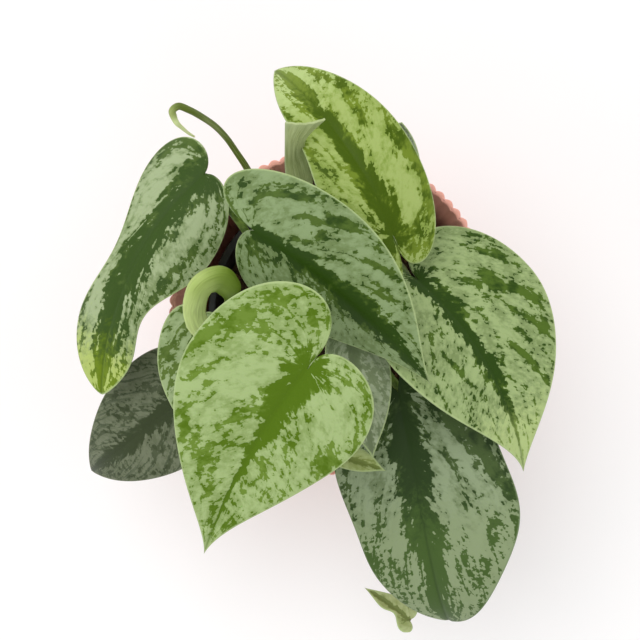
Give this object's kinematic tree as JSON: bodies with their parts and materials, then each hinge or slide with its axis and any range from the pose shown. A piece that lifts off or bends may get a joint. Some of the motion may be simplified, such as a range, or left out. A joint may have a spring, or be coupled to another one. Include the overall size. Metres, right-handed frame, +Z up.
{
  "type": "potted satin pothos",
  "caption": "Satin pothos with heart-shaped, silver-blotched leaves, rooted in a black nursery pot that stands in a round fluted outer pot.",
  "frame": {"origin": "centre of the outer pot's flat underside", "axes": "+Z up along the pot's axis; -Y towards the side where the front leaf's tip points down"},
  "size_m": [0.1604, 0.1954, 0.1894],
  "materials": {
    "outer_pot": "satin",
    "nursery_pot": "satin",
    "soil": "matte",
    "stem": "satin",
    "leaf_bright": "satin",
    "leaf_silver": "satin",
    "leaf_dark": "satin",
    "leaf_grey": "satin",
    "leaf_young": "satin"
  },
  "bodies": {
    "root": {"outer_pot": "outer_pot", "nursery_pot": "nursery_pot", "soil": "soil", "vine_back_left": "stem", "vine_back_right": "stem", "vine_front_left": "stem", "vine_front_right": "stem", "leaf_front": "leaf_bright", "leaf_top": "leaf_bright", "leaf_middle": "leaf_silver", "leaf_right": "leaf_silver", "leaf_small_left": "leaf_silver", "leaf_shaded": "leaf_grey", "leaf_lower": "leaf_dark", "leaf_hanging": "leaf_dark", "leaf_grey": "leaf_grey", "leaf_hidden": "leaf_grey", "leaf_pale": "leaf_young", "leaf_trailing": "leaf_young", "leaf_half_open": "leaf_young", "leaf_rolled": "leaf_young", "shoot_curled": "leaf_young"}
  },
  "joints": []
}
